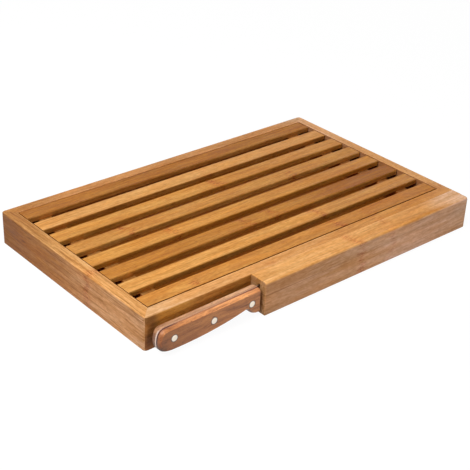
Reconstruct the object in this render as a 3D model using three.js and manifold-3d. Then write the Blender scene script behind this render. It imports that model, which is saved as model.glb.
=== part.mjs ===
// A slatted bamboo bread board with its own bread knife.
// A mitred frame holds a crumb floor. A grille of eight slats on two battens lifts out of it.
// The front carries a housing of two glued boards, and the knife's blade slides into the slit between them.
// Millimetres, +Z up, +X to the right. The front faces -Y, with the knife's handle at its left.
// The origin is the centre of the board's rectangle, on the surface that the board stands on.

import * as THREE from "three";
import { mergeVertices } from "three/addons/utils/BufferGeometryUtils.js";
import Module from "manifold-3d";

const wasm = await Module();
wasm.setup();

// Knife
const handleLength = 107.5;
const handleHeight = 24.2;
const handleLift = 3.1; // from the table to the handle's lowest point
const scaleThickness = 5.4;
const scaleRounding = 1.8; // the scale's outer edge rolls in by this much,
const scaleCrown = 3.4; // over this much of its thickness
const handleCornerRadius = 2.8;
const endTrim = 0.9; // cut off the handle's front end, which leaves it nearly square
const bladeLength = 203;
const bladeThickness = 1.6;
const guardDrop = 1.9; // how far the handle reaches below the cutting edge
const tipLength = 32;
const tipBlunt = 4;
const heelLength = 7;
const toothPitch = 6.5;
const toothDepth = 1.1;
const grindWidth = 7;
const edgeThickness = 0.4;
const rivetRadius = 3.1;
const rivetShankRadius = 1.9;
const rivetHeadDepth = 2.6;
const rivetDome = 0.25;
const rivetPlay = 0.1;
const rivetGuardInset = 9.9;
const rivetButtInset = 14.6;
const rivetDropShare = 0.481; // of the handle's height, from the spine to the rivets
const rivetFlatShare = 0.6; // of the head's radius, flat on top of its dome

// Knife bay and slit
const bladePlay = 0.2; // on each side of the blade in the slit
const edgeGap = 0.3; // from the cutting edge to the slit's floor
const spineGap = 1.2; // from the blade's spine to the slit's roof
const slitRoof = 4.5; // wood above the slit
const slitTipGap = 3; // from the blade's tip to the slit's end
const slitEndWall = 63.8;
const outerWall = 7.75; // wood in front of the slit
const fingerGap = 4.55; // from the handle to the front rail
const buttGap = 2.7; // from the handle's butt to the board's left side
const guardGap = 2.7; // from the handle to the housing

// Grille
const slatCount = 8;
const slatWidth = 16.3;
const endSlatWidth = 15.9; // the first and the last slat
const slotWidth = 10;
const slatThickness = 5.2;
const slatRounding = 1;
const slatEndGap = 1;
const grilleFrontGap = 1.6;
const grilleBackGap = 0.3;
const grilleRecess = 0.4; // slat tops below the frame's top
const battenWidth = 13.5;
const leftBattenInset = 13; // from the left rail to its batten
const rightBattenInset = 16.5;
const battenEndInset = 1;
const seatGap = 0.3; // battens to crumb floor

// Frame
const railWidth = 11;
const floorThickness = 5;
const floorLift = 5; // from the table to the crumb floor's underside
const grooveDepth = 4;
const groovePlay = 0.3;
const cornerRadius = 2.5;
const topEdgeRadius = 2;
const bottomEdgeRadius = 1;
const overrun = 1; // how far each cutting shape passes the face that it cuts
const weldTolerance = 0.0001; // corners closer than this are one

// Everything below follows from the sizes above.
const slitWidth = bladeThickness + 2 * bladePlay;
const bayLength = buttGap + handleLength + guardGap;
const slitLength = bladeLength - guardGap + slitTipGap;
const boardLength = bayLength + slitLength + slitEndWall;
const outerCheek = outerWall + slitWidth;
const innerCheek = bladeThickness / 2 + scaleThickness + fingerGap - slitWidth / 2;
const housingDepth = outerCheek + innerCheek;
const grilleDepth = 2 * endSlatWidth + (slatCount - 2) * slatWidth + (slatCount - 1) * slotWidth;
const frameDepth = grilleDepth + grilleFrontGap + grilleBackGap + 2 * railWidth;
const boardDepth = frameDepth + housingDepth;
const spineHeight = handleLift + handleHeight;
const bladeHeight = handleHeight - guardDrop;
const boardHeight = spineHeight + spineGap + slitRoof;
const slitFloor = spineHeight - bladeHeight - edgeGap;
const slitHeight = bladeHeight + edgeGap + spineGap;
const slatBottom = boardHeight - grilleRecess - slatThickness;
const floorTop = floorLift + floorThickness;
const battenHeight = slatBottom - floorTop - seatGap;

const left = -boardLength / 2;
const right = boardLength / 2;
const front = -boardDepth / 2;
const back = boardDepth / 2;
const railFront = front + housingDepth;
const housingLeft = left + bayLength;
const frameMiddle = (railFront + back) / 2;
const innerLength = boardLength - 2 * railWidth;
const innerDepth = frameDepth - 2 * railWidth;

// Segments on round stretches
const arcSegments = 4;
const curveSegments = 10;
const rivetSegments = 24;

const colours = {
  bamboo: 0xd9a464,
  bambooRed: 0xcf9256,
  bambooPale: 0xe4b271,
  bambooBrown: 0xb07a45,
  handleWood: 0x9a6041,
  steel: 0xc9ccd0,
  rivet: 0xdcdad2,
};

// A closed geometry as a solid, and a solid as a geometry with its own flat faces.
function toSolid(geometry) {
  const bare = geometry.clone();
  bare.deleteAttribute("normal");
  bare.deleteAttribute("uv");
  const merged = mergeVertices(bare.index ? bare.toNonIndexed() : bare, weldTolerance);
  return new wasm.Manifold(
    new wasm.Mesh({
      numProp: 3,
      vertProperties: merged.attributes.position.array,
      triVerts: new Uint32Array(merged.index.array),
    }),
  );
}

function toGeometry(solid) {
  const mesh = solid.getMesh();
  const indexed = new THREE.BufferGeometry();
  indexed.setAttribute("position", new THREE.BufferAttribute(mesh.vertProperties, 3));
  indexed.setIndex(new THREE.BufferAttribute(mesh.triVerts, 1));
  const geometry = indexed.toNonIndexed();
  geometry.computeVertexNormals();
  return geometry;
}

function without(geometry, cutters) {
  const rest = cutters.reduce((solid, cutter) => solid.subtract(toSolid(cutter)), toSolid(geometry));
  return toGeometry(rest);
}

// A box from its lowest corner to its highest.
function boxBetween(low, high) {
  const size = new THREE.Vector3().subVectors(high, low);
  const middle = new THREE.Vector3().addVectors(low, high).multiplyScalar(1 / 2);
  return new THREE.BoxGeometry(size.x, size.y, size.z).translate(middle.x, middle.y, middle.z);
}

const xAxis = new THREE.Vector3(1, 0, 0);
const yAxis = new THREE.Vector3(0, 1, 0);
const zAxis = new THREE.Vector3(0, 0, 1);

// What rounding an edge takes away. The edge runs through a point along one axis for a length each way,
// and inwardA and inwardB point from it into the wood.
function edgeCutter(point, inwardA, inwardB, reach, radius) {
  const shape = new THREE.Shape();
  shape.moveTo(-overrun, -overrun);
  shape.lineTo(radius, -overrun);
  shape.lineTo(radius, 0);
  shape.absarc(radius, radius, radius, 1.5 * Math.PI, Math.PI, true);
  shape.lineTo(-overrun, radius);
  shape.closePath();
  const geometry = new THREE.ExtrudeGeometry(shape, {
    depth: 2 * reach,
    bevelEnabled: false,
    curveSegments: arcSegments,
  });
  geometry.translate(0, 0, -reach);
  const along = new THREE.Vector3().crossVectors(inwardA, inwardB);
  const turn = new THREE.Matrix4().makeBasis(inwardA, inwardB, along);
  return geometry.applyMatrix4(turn.setPosition(point));
}

// The rounded outer edges of the whole board, which run over its glue joints.
function boardEdges() {
  const toBack = yAxis;
  const toFront = yAxis.clone().negate();
  const toRight = xAxis;
  const toLeft = xAxis.clone().negate();
  const up = zAxis;
  const down = zAxis.clone().negate();
  const level = [
    [boardHeight, down, topEdgeRadius],
    [0, up, bottomEdgeRadius],
  ];
  const edges = [];
  for (const [z, inward, radius] of level) {
    const at = (x, y) => new THREE.Vector3(x, y, z);
    edges.push(edgeCutter(at(left, frameMiddle), toRight, inward, boardDepth, radius));
    edges.push(edgeCutter(at(right, frameMiddle), toLeft, inward, boardDepth, radius));
    edges.push(edgeCutter(at(0, back), toFront, inward, boardLength, radius));
    edges.push(edgeCutter(at(0, front), toBack, inward, boardLength, radius));
  }
  const upright = (x, y, inX, inY, radius) =>
    edgeCutter(new THREE.Vector3(x, y, boardHeight / 2), inX, inY, boardHeight, radius);
  edges.push(upright(left, back, toRight, toFront, cornerRadius));
  edges.push(upright(right, back, toLeft, toFront, cornerRadius));
  edges.push(upright(right, front, toLeft, toBack, cornerRadius));
  return edges;
}

// The edges round the knife bay: along the front rail beside the handle, and down the housing's end.
function frontRailEdges() {
  const reach = bayLength / 2 + railWidth;
  const middle = housingLeft - reach;
  const toBack = yAxis;
  const toRight = xAxis;
  const down = zAxis.clone().negate();
  const corner = new THREE.Vector3(left, railFront, boardHeight / 2);
  return [
    edgeCutter(new THREE.Vector3(middle, railFront, boardHeight), toBack, down, reach, topEdgeRadius),
    edgeCutter(new THREE.Vector3(middle, railFront, 0), toBack, zAxis, reach, bottomEdgeRadius),
    edgeCutter(corner, toRight, toBack, boardHeight, cornerRadius),
  ];
}

function housingEdges() {
  const middle = railFront - housingDepth / 2;
  const down = zAxis.clone().negate();
  const reach = housingDepth / 2;
  const corner = new THREE.Vector3(housingLeft, front, boardHeight / 2);
  return [
    edgeCutter(new THREE.Vector3(housingLeft, middle, boardHeight), xAxis, down, reach, topEdgeRadius),
    edgeCutter(new THREE.Vector3(housingLeft, middle, 0), xAxis, zAxis, reach, bottomEdgeRadius),
    edgeCutter(corner, xAxis, yAxis, boardHeight, topEdgeRadius),
  ];
}

// A mitred rail, drawn along +X with its outer face at y = 0 and the inside of the board towards +Y.
// Its section has the groove that holds the crumb floor. Each end runs back at 45 degrees.
function railGeometry(length) {
  const grooveTop = floorTop + groovePlay;
  const section = new THREE.Shape();
  section.moveTo(0, 0);
  section.lineTo(railWidth, 0);
  section.lineTo(railWidth, floorLift);
  section.lineTo(railWidth - grooveDepth, floorLift);
  section.lineTo(railWidth - grooveDepth, grooveTop);
  section.lineTo(railWidth, grooveTop);
  section.lineTo(railWidth, boardHeight);
  section.lineTo(0, boardHeight);
  section.closePath();
  const geometry = new THREE.ExtrudeGeometry(section, { depth: length, bevelEnabled: false });
  const turn = new THREE.Matrix4().makeBasis(yAxis, zAxis, xAxis);
  geometry.translate(0, 0, -length / 2).applyMatrix4(turn);
  const place = geometry.attributes.position;
  for (let i = 0; i < place.count; i++) {
    const x = place.getX(i);
    place.setX(i, x - Math.sign(x) * place.getY(i));
  }
  return geometry;
}

// A rail turned to its side of the frame. Each corner of the turn is exact, so neighbours share a mitre.
function railOnSide(side) {
  const toBack = yAxis;
  const toFront = yAxis.clone().negate();
  const toRight = xAxis;
  const toLeft = xAxis.clone().negate();
  const sides = {
    front: [boardLength, toRight, toBack, new THREE.Vector3(0, railFront, 0)],
    back: [boardLength, toLeft, toFront, new THREE.Vector3(0, back, 0)],
    left: [frameDepth, toFront, toRight, new THREE.Vector3(left, frameMiddle, 0)],
    right: [frameDepth, toBack, toLeft, new THREE.Vector3(right, frameMiddle, 0)],
  };
  const [length, along, inward, place] = sides[side];
  const turn = new THREE.Matrix4().makeBasis(along, inward, zAxis);
  return railGeometry(length).applyMatrix4(turn.setPosition(place));
}

// A bar along +X with its two upper long edges rounded, centred on x and y, standing on z = 0.
function slatGeometry(length, width) {
  const half = width / 2;
  const section = new THREE.Shape();
  section.moveTo(-half, 0);
  section.lineTo(half, 0);
  section.lineTo(half, slatThickness - slatRounding);
  section.absarc(half - slatRounding, slatThickness - slatRounding, slatRounding, 0, Math.PI / 2);
  section.lineTo(slatRounding - half, slatThickness);
  section.absarc(slatRounding - half, slatThickness - slatRounding, slatRounding, Math.PI / 2, Math.PI);
  section.closePath();
  const geometry = new THREE.ExtrudeGeometry(section, {
    depth: length,
    bevelEnabled: false,
    curveSegments: arcSegments,
  });
  const turn = new THREE.Matrix4().makeBasis(yAxis, zAxis, xAxis);
  return geometry.translate(0, 0, -length / 2).applyMatrix4(turn);
}

// The handle's outline in the knife's own frame: x = 0 at its front end, where the blade begins, and
// y = 0 at the spine. It runs round from the spine over the butt, along the belly and up the guard,
// and passes the front end by what is trimmed there.
// Each pair is a share of the handle's length and height.
const topButtShares = [-0.922, -0.06];
const buttShares = [
  [-0.982, -0.07, -1, -0.27, -1, -0.55],
  [-1, -0.92, -0.95, -0.99, -0.82, -0.985],
];
const bellyShares = [-0.585, -0.99, -0.34, -0.88, -0.142, -0.664];
const guardShares = [-0.105, -0.69, -0.105, -0.985];

function handleShape() {
  const shape = new THREE.Shape();
  const scaled = (shares) => shares.map((share, i) => share * (i % 2 ? handleHeight : handleLength));
  const guardBottom = scaled(guardShares)[3];
  const cornerX = endTrim - handleCornerRadius;
  shape.moveTo(cornerX, 0);
  shape.lineTo(...scaled(topButtShares));
  for (const shares of buttShares) shape.bezierCurveTo(...scaled(shares));
  shape.bezierCurveTo(...scaled(bellyShares));
  shape.bezierCurveTo(...scaled(guardShares), cornerX, guardBottom);
  shape.absarc(cornerX, guardBottom + handleCornerRadius, handleCornerRadius, 1.5 * Math.PI, 2 * Math.PI);
  shape.lineTo(endTrim, -handleCornerRadius);
  shape.absarc(cornerX, -handleCornerRadius, handleCornerRadius, 0, Math.PI / 2);
  return shape;
}

// The blade's outline, with its scalloped edge. It reaches back into the handle by one corner radius,
// where it joins the tang.
function bladeShape() {
  const shape = new THREE.Shape();
  const edgeEnd = bladeLength - tipBlunt;
  const teeth = Math.floor((bladeLength - heelLength - tipLength / 2) / toothPitch);
  shape.moveTo(-handleCornerRadius, 0);
  shape.lineTo(-handleCornerRadius, -bladeHeight);
  shape.lineTo(heelLength, -bladeHeight);
  for (let i = 0; i < teeth; i++) {
    const start = heelLength + i * toothPitch;
    shape.quadraticCurveTo(
      start + toothPitch / 2,
      -bladeHeight + 2 * toothDepth,
      start + toothPitch,
      -bladeHeight,
    );
  }
  shape.lineTo(edgeEnd, -bladeHeight);
  shape.quadraticCurveTo(bladeLength, -bladeHeight, bladeLength, -bladeHeight + tipBlunt);
  shape.quadraticCurveTo(bladeLength - tipBlunt, 0, bladeLength - tipLength, 0);
  shape.closePath();
  return shape;
}

// Turns a shape drawn in x and y into a solid whose y is the knife's height and whose thickness is centred.
function knifeExtrusion(shape, thickness, rounding = 0, crown = 0) {
  const geometry = new THREE.ExtrudeGeometry(shape, {
    depth: thickness - 2 * crown,
    bevelEnabled: rounding > 0,
    bevelThickness: crown,
    bevelSize: rounding,
    bevelOffset: -rounding,
    bevelSegments: arcSegments,
    curveSegments,
  });
  geometry.translate(0, 0, crown - thickness / 2);
  return geometry.rotateX(Math.PI / 2);
}

const handleThickness = bladeThickness + 2 * scaleThickness;
const rivetDrop = rivetDropShare * handleHeight;
const rivetSpacing = (handleLength - rivetGuardInset - rivetButtInset) / 2;

// A rivet across the handle, and with a play the hole that it goes through.
function rivetGeometry(play) {
  const half = handleThickness / 2;
  const head = rivetRadius + play;
  const shank = rivetShankRadius + play;
  const shoulder = half - rivetHeadDepth;
  const end = half + (play > 0 ? overrun : rivetDome);
  const rim = play > 0 ? end : half;
  const flat = play > 0 ? head : rivetFlatShare * head;
  const profile = [
    new THREE.Vector2(0, -end),
    new THREE.Vector2(flat, -end),
    new THREE.Vector2(head, -rim),
    new THREE.Vector2(head, -shoulder),
    new THREE.Vector2(shank, -shoulder),
    new THREE.Vector2(shank, shoulder),
    new THREE.Vector2(head, shoulder),
    new THREE.Vector2(head, rim),
    new THREE.Vector2(flat, end),
    new THREE.Vector2(0, end),
  ];
  return new THREE.LatheGeometry(profile, rivetSegments);
}

function rivetPlace(index) {
  return new THREE.Vector3(-rivetGuardInset - index * rivetSpacing, 0, -rivetDrop);
}

function rivetHoles() {
  return [0, 1, 2].map((index) => {
    const place = rivetPlace(index);
    return rivetGeometry(rivetPlay).translate(place.x, place.y, place.z);
  });
}

const woodRoughness = 0.55;
const metalRoughness = 0.3;
const board = new THREE.Group();

function addPiece(group, name, geometry, color, metalness = 0) {
  const roughness = metalness ? metalRoughness : woodRoughness;
  const material = new THREE.MeshStandardMaterial({ color, roughness, metalness });
  const mesh = new THREE.Mesh(geometry, material);
  mesh.name = name;
  group.add(mesh);
  return mesh;
}

// Frame: four mitred rails, the floor in their groove, and the housing's two boards
const frame = new THREE.Group();
board.add(frame);
const edges = boardEdges();
const bayEdges = [...edges, ...frontRailEdges()];
addPiece(frame, "left_rail", without(railOnSide("left"), bayEdges), colours.bambooBrown);
addPiece(frame, "right_rail", without(railOnSide("right"), edges), colours.bamboo);
addPiece(frame, "back_rail", without(railOnSide("back"), edges), colours.bambooRed);
addPiece(frame, "front_rail", without(railOnSide("front"), bayEdges), colours.bamboo);

const floorLength = innerLength + 2 * (grooveDepth - groovePlay);
const floorDepth = innerDepth + 2 * (grooveDepth - groovePlay);
const floor = new THREE.BoxGeometry(floorLength, floorDepth, floorThickness);
const crumbFloor = addPiece(frame, "crumb_floor", floor, colours.bambooPale);
crumbFloor.position.set(0, frameMiddle, floorLift + floorThickness / 2);

const slit = boxBetween(
  new THREE.Vector3(housingLeft - overrun, front + outerWall, slitFloor),
  new THREE.Vector3(housingLeft + slitLength, front + outerCheek + overrun, slitFloor + slitHeight),
);
const seam = front + outerCheek;
const outerBoard = boxBetween(
  new THREE.Vector3(housingLeft, front, 0),
  new THREE.Vector3(right, seam, boardHeight),
);
const innerBoard = boxBetween(
  new THREE.Vector3(housingLeft, seam, 0),
  new THREE.Vector3(right, railFront, boardHeight),
);
const blockEdges = [...edges, ...housingEdges()];
addPiece(frame, "housing_outer", without(outerBoard, [slit, ...blockEdges]), colours.bamboo);
addPiece(frame, "housing_inner", without(innerBoard, blockEdges), colours.bambooPale);

// Grille: slats from the back to the front, on two battens
const grille = new THREE.Group();
grille.position.set(0, back - railWidth - grilleBackGap - grilleDepth / 2, slatBottom);
board.add(grille);
const slatColours = [
  colours.bambooRed,
  colours.bamboo,
  colours.bambooPale,
  colours.bamboo,
  colours.bambooPale,
  colours.bambooRed,
  colours.bambooPale,
  colours.bamboo,
];
const slatLength = innerLength - 2 * slatEndGap;
let slatBack = grilleDepth / 2;
for (let i = 0; i < slatCount; i++) {
  const width = i === 0 || i === slatCount - 1 ? endSlatWidth : slatWidth;
  const color = slatColours[i % slatColours.length];
  const slat = addPiece(grille, `slat_${i + 1}`, slatGeometry(slatLength, width), color);
  slat.position.y = slatBack - width / 2;
  slatBack -= width + slotWidth;
}
const battens = [
  ["batten_left", -1, leftBattenInset],
  ["batten_right", 1, rightBattenInset],
];
for (const [name, side, inset] of battens) {
  const batten = new THREE.BoxGeometry(battenWidth, grilleDepth - 2 * battenEndInset, battenHeight);
  const mesh = addPiece(grille, name, batten, colours.bambooBrown);
  mesh.position.set(side * (innerLength / 2 - inset - battenWidth / 2), 0, -battenHeight / 2);
}

// Knife: blade and tang in one, a wooden scale on each side, three rivets
const knife = new THREE.Group();
knife.position.set(left + buttGap + handleLength, front + outerWall + slitWidth / 2, spineHeight);
board.add(knife);

const grind = new THREE.Shape();
grind.moveTo(bladeThickness / 2, -bladeHeight + grindWidth);
grind.lineTo(edgeThickness - bladeThickness / 2, -bladeHeight);
grind.lineTo(edgeThickness - bladeThickness / 2, -bladeHeight - overrun);
grind.lineTo(bladeThickness / 2 + overrun, -bladeHeight - overrun);
grind.lineTo(bladeThickness / 2 + overrun, -bladeHeight + grindWidth);
grind.closePath();
const grindCutter = new THREE.ExtrudeGeometry(grind, { depth: bladeLength, bevelEnabled: false });
grindCutter.applyMatrix4(new THREE.Matrix4().makeBasis(yAxis, zAxis, xAxis));
grindCutter.translate(heelLength / 2, 0, 0);
const ground = without(knifeExtrusion(bladeShape(), bladeThickness), [grindCutter]);

// What is left of the handle between two depths, trimmed square at its front end and drilled.
function handleSlice(geometry, lowY, highY) {
  const slice = boxBetween(
    new THREE.Vector3(-handleLength - overrun, lowY, -handleHeight - overrun),
    new THREE.Vector3(0, highY, overrun),
  );
  return without(toGeometry(toSolid(geometry).intersect(toSolid(slice))), rivetHoles());
}

const tangFace = bladeThickness / 2;
const outside = handleThickness / 2 + overrun;
const tang = handleSlice(knifeExtrusion(handleShape(), bladeThickness), -outside, outside);
addPiece(knife, "blade", toGeometry(toSolid(ground).add(toSolid(tang))), colours.steel, 1);

const handle = knifeExtrusion(handleShape(), handleThickness, scaleRounding, scaleCrown);
addPiece(knife, "scale_outer", handleSlice(handle, -outside, -tangFace), colours.handleWood);
addPiece(knife, "scale_inner", handleSlice(handle, tangFace, outside), colours.handleWood);
["rivet_guard", "rivet_middle", "rivet_butt"].forEach((name, index) => {
  addPiece(knife, name, rivetGeometry(0), colours.rivet, 1).position.copy(rivetPlace(index));
});

export default board;
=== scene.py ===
import math

import bpy
import numpy as np
from mathutils import Matrix, Vector


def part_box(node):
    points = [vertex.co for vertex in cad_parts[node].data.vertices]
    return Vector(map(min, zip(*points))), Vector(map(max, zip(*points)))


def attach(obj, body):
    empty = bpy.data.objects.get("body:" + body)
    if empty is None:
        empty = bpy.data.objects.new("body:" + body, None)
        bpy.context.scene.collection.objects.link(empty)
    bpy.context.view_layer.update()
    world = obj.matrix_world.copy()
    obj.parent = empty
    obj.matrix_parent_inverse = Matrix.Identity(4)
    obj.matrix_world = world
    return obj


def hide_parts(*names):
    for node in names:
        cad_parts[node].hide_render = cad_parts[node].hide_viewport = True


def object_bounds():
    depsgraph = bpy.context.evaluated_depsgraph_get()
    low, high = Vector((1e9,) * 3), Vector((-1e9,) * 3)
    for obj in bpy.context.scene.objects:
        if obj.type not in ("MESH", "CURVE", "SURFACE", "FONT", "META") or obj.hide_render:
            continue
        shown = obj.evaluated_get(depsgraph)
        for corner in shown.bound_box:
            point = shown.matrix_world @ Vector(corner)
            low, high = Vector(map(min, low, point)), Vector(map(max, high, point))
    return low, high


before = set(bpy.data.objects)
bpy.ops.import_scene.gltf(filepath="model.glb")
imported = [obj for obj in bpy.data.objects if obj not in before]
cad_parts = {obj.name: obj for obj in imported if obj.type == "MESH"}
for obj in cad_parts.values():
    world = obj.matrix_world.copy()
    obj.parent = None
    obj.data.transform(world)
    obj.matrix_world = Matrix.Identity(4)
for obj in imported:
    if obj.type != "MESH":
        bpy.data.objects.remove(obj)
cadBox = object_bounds()

# A slatted bamboo bread board with its bread knife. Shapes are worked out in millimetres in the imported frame,
# and meshes are written in metres. The front faces -Y, with the knife's handle at the left.
millimetre = 0.001
hair = 0.02  # the smallest step between rows and the smallest corner, which keeps points apart
quarter = math.pi / 2
scene = bpy.context.scene
print("frame loaded with", len(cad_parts), "nodes")


# The lowest and highest corners of a node, in millimetres.
def boxOf(node):
    low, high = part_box(node)
    return np.array(low) / millimetre, np.array(high) / millimetre


left, front = np.array(cadBox[0])[:2] / millimetre
right, back, boardTop = np.array(cadBox[1]) / millimetre
housingLeft = boxOf("housing_outer")[0][0]
railFront = boxOf("front_rail")[0][1]
railWidth = np.ptp(np.array(boxOf("left_rail"))[:, 0])

# Camera
photoView = {
    "lens": 85.65,
    "sensorWidth": 36,
    "eye": (-0.6324, -0.7021, 0.5299),
    "aim": (-0.0255, -0.0211, 0.0170),
    "roll": 2.54,  # degrees
}


# Looks from the eye towards the aim, and is rolled about that line.
def makeCamera():
    data = bpy.data.cameras.new("photo_camera")
    data.lens = photoView["lens"]
    data.sensor_width = photoView["sensorWidth"]
    camera = bpy.data.objects.new("photo_camera", data)
    scene.collection.objects.link(camera)
    eye = Vector(photoView["eye"])
    forward = (Vector(photoView["aim"]) - eye).normalized()
    level = forward.cross(Vector((0, 0, 1))).normalized()
    upright = level.cross(forward)
    roll = math.radians(photoView["roll"])
    across = level * math.cos(roll) + upright * math.sin(roll)
    up = upright * math.cos(roll) - level * math.sin(roll)
    turn = Matrix((across, up, -forward)).transposed().to_4x4()
    camera.matrix_world = Matrix.Translation(eye) @ turn
    scene.camera = camera


makeCamera()
print("camera placed")


# Finishes. A tone is written as the 0 to 255 values that a picture shows, and this makes it linear light.
def shade(tone):
    share = np.array(tone) / 255
    linear = np.where(share <= 0.04045, share / 12.92, ((share + 0.055) / 1.055) ** 2.4)
    return tuple(linear.tolist())


# One shader node. Each feed is a plain value or the output that is linked in.
def addNode(tree, kind, feeds=None, **settings):
    made = tree.nodes.new("ShaderNode" + kind)
    for setting, value in settings.items():
        setattr(made, setting, value)
    for socket, value in (feeds or {}).items():
        if isinstance(value, bpy.types.NodeSocket):
            tree.links.new(value, made.inputs[socket])
        else:
            made.inputs[socket].default_value = value
    return made


def calc(tree, operation, first, second=0.0, third=0.0):
    return addNode(tree, "Math", {0: first, 1: second, 2: third}, operation=operation).outputs[0]


def times(tree, first, second):
    return calc(tree, "MULTIPLY", first, second)


def calcVector(tree, operation, first, second):
    return addNode(tree, "VectorMath", {0: first, 1: second}, operation=operation).outputs[0]


def components(tree, vector):
    return addNode(tree, "SeparateXYZ", {0: vector}).outputs[:]


# A colour for a socket: red, green and blue get their alpha, and an output stays as it is.
def opaque(colour):
    return colour if isinstance(colour, bpy.types.NodeSocket) else (*colour, 1.0)


def mixColours(tree, share, first, second, how="MIX"):
    feeds = {0: share, 6: opaque(first), 7: opaque(second)}
    return addNode(tree, "Mix", feeds, data_type="RGBA", blend_type=how).outputs[2]


# Multiplies a colour by shares of red, green and blue, as far as the first share says.
def tint(tree, share, colour, shares):
    return mixColours(tree, share, colour, shares, "MULTIPLY")


# Runs smoothly from outLow to outHigh while the value goes from low to high.
def spread(tree, value, low, high, outLow=0.0, outHigh=1.0):
    feeds = {"Value": value, "From Min": low, "From Max": high, "To Min": outLow, "To Max": outHigh}
    return addNode(tree, "MapRange", feeds, interpolation_type="SMOOTHSTEP").outputs[0]


# The same from 0 to 1, over a reach that is measured from an edge.
def fromEdge(tree, value, edge, reach):
    return spread(tree, value, edge + reach[0], edge + reach[1])


def ramp(tree, value, stops):
    made = addNode(tree, "ValToRGB", {0: value})
    points = made.color_ramp.elements
    for place, _ in stops[1:-1]:
        points.new(place)
    points[-1].position = stops[-1][0]
    points[0].position = stops[0][0]
    for point, (_, colour) in zip(points, stops):
        point.color = opaque(colour)
    return made.outputs[0]


# Noise with so many marks in a millimetre along each axis.
def drawnNoise(tree, place, perMillimetre, detail, roughness):
    drawn = calcVector(tree, "MULTIPLY", place, perMillimetre)
    feeds = {"Vector": drawn, "Scale": 1.0, "Detail": detail, "Roughness": roughness}
    return addNode(tree, "TexNoise", feeds).outputs[0]


# Noise whose marks are so long and so wide, in millimetres, with the grain along the first axis.
def grainNoise(tree, place, length, width, detail):
    return drawnNoise(tree, place, (1 / length, 1 / width, 1 / width), detail, 0.55)


# A material with some of its shader's sockets set to plain values.
def newFinish(name, constants=None):
    material = bpy.data.materials.new(name)
    material.use_nodes = True
    tree = material.node_tree
    shader = next(node for node in tree.nodes if node.type == "BSDF_PRINCIPLED")
    for socket, value in (constants or {}).items():
        shader.inputs[socket].default_value = value
    return material, tree, shader


# Links a colour, a roughness that follows a pattern, a relief, and other sockets by name.
# surface: roughness (where the pattern is low, and high) and relief (strength, and depth in metres).
def feedShader(tree, shader, surface, colour, pattern, height, **others):
    roughness = spread(tree, pattern, 0.3, 0.7, *surface["roughness"])
    strength, depth = surface["relief"]
    bump = addNode(tree, "Bump", {"Strength": strength, "Distance": depth, "Height": height})
    outputs = {"Base Color": colour, "Roughness": roughness, "Normal": bump.outputs[0], **others}
    for socket, output in outputs.items():
        tree.links.new(output, shader.inputs[socket])


# Object coordinates in millimetres, or a face's direction, turned so that the grain is along the first axis.
def alongGrain(tree, along, output="Object"):
    source = addNode(tree, "TexCoord").outputs[output]
    size = 1 / millimetre if output == "Object" else 1.0
    turn = -quarter if along == "y" else 0.0
    feeds = {"Vector": source, "Rotation": (0, 0, turn), "Scale": (size, size, size)}
    return addNode(tree, "Mapping", feeds).outputs[0]


# How far a place lies inside a band that reaches so far to both sides of its middle.
def insideBand(tree, place, middle, reach):
    away = calc(tree, "ABSOLUTE", calc(tree, "SUBTRACT", place, middle))
    return calc(tree, "SUBTRACT", reach, away)


# How far a place lies from a rivet's line, which runs along y.
def awayFromRivet(tree, place, x, z):
    flat = calcVector(tree, "MULTIPLY", place, (1, 0, 1))
    return addNode(tree, "VectorMath", {0: flat, 1: (x, 0, z)}, operation="DISTANCE").outputs[1]


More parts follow.
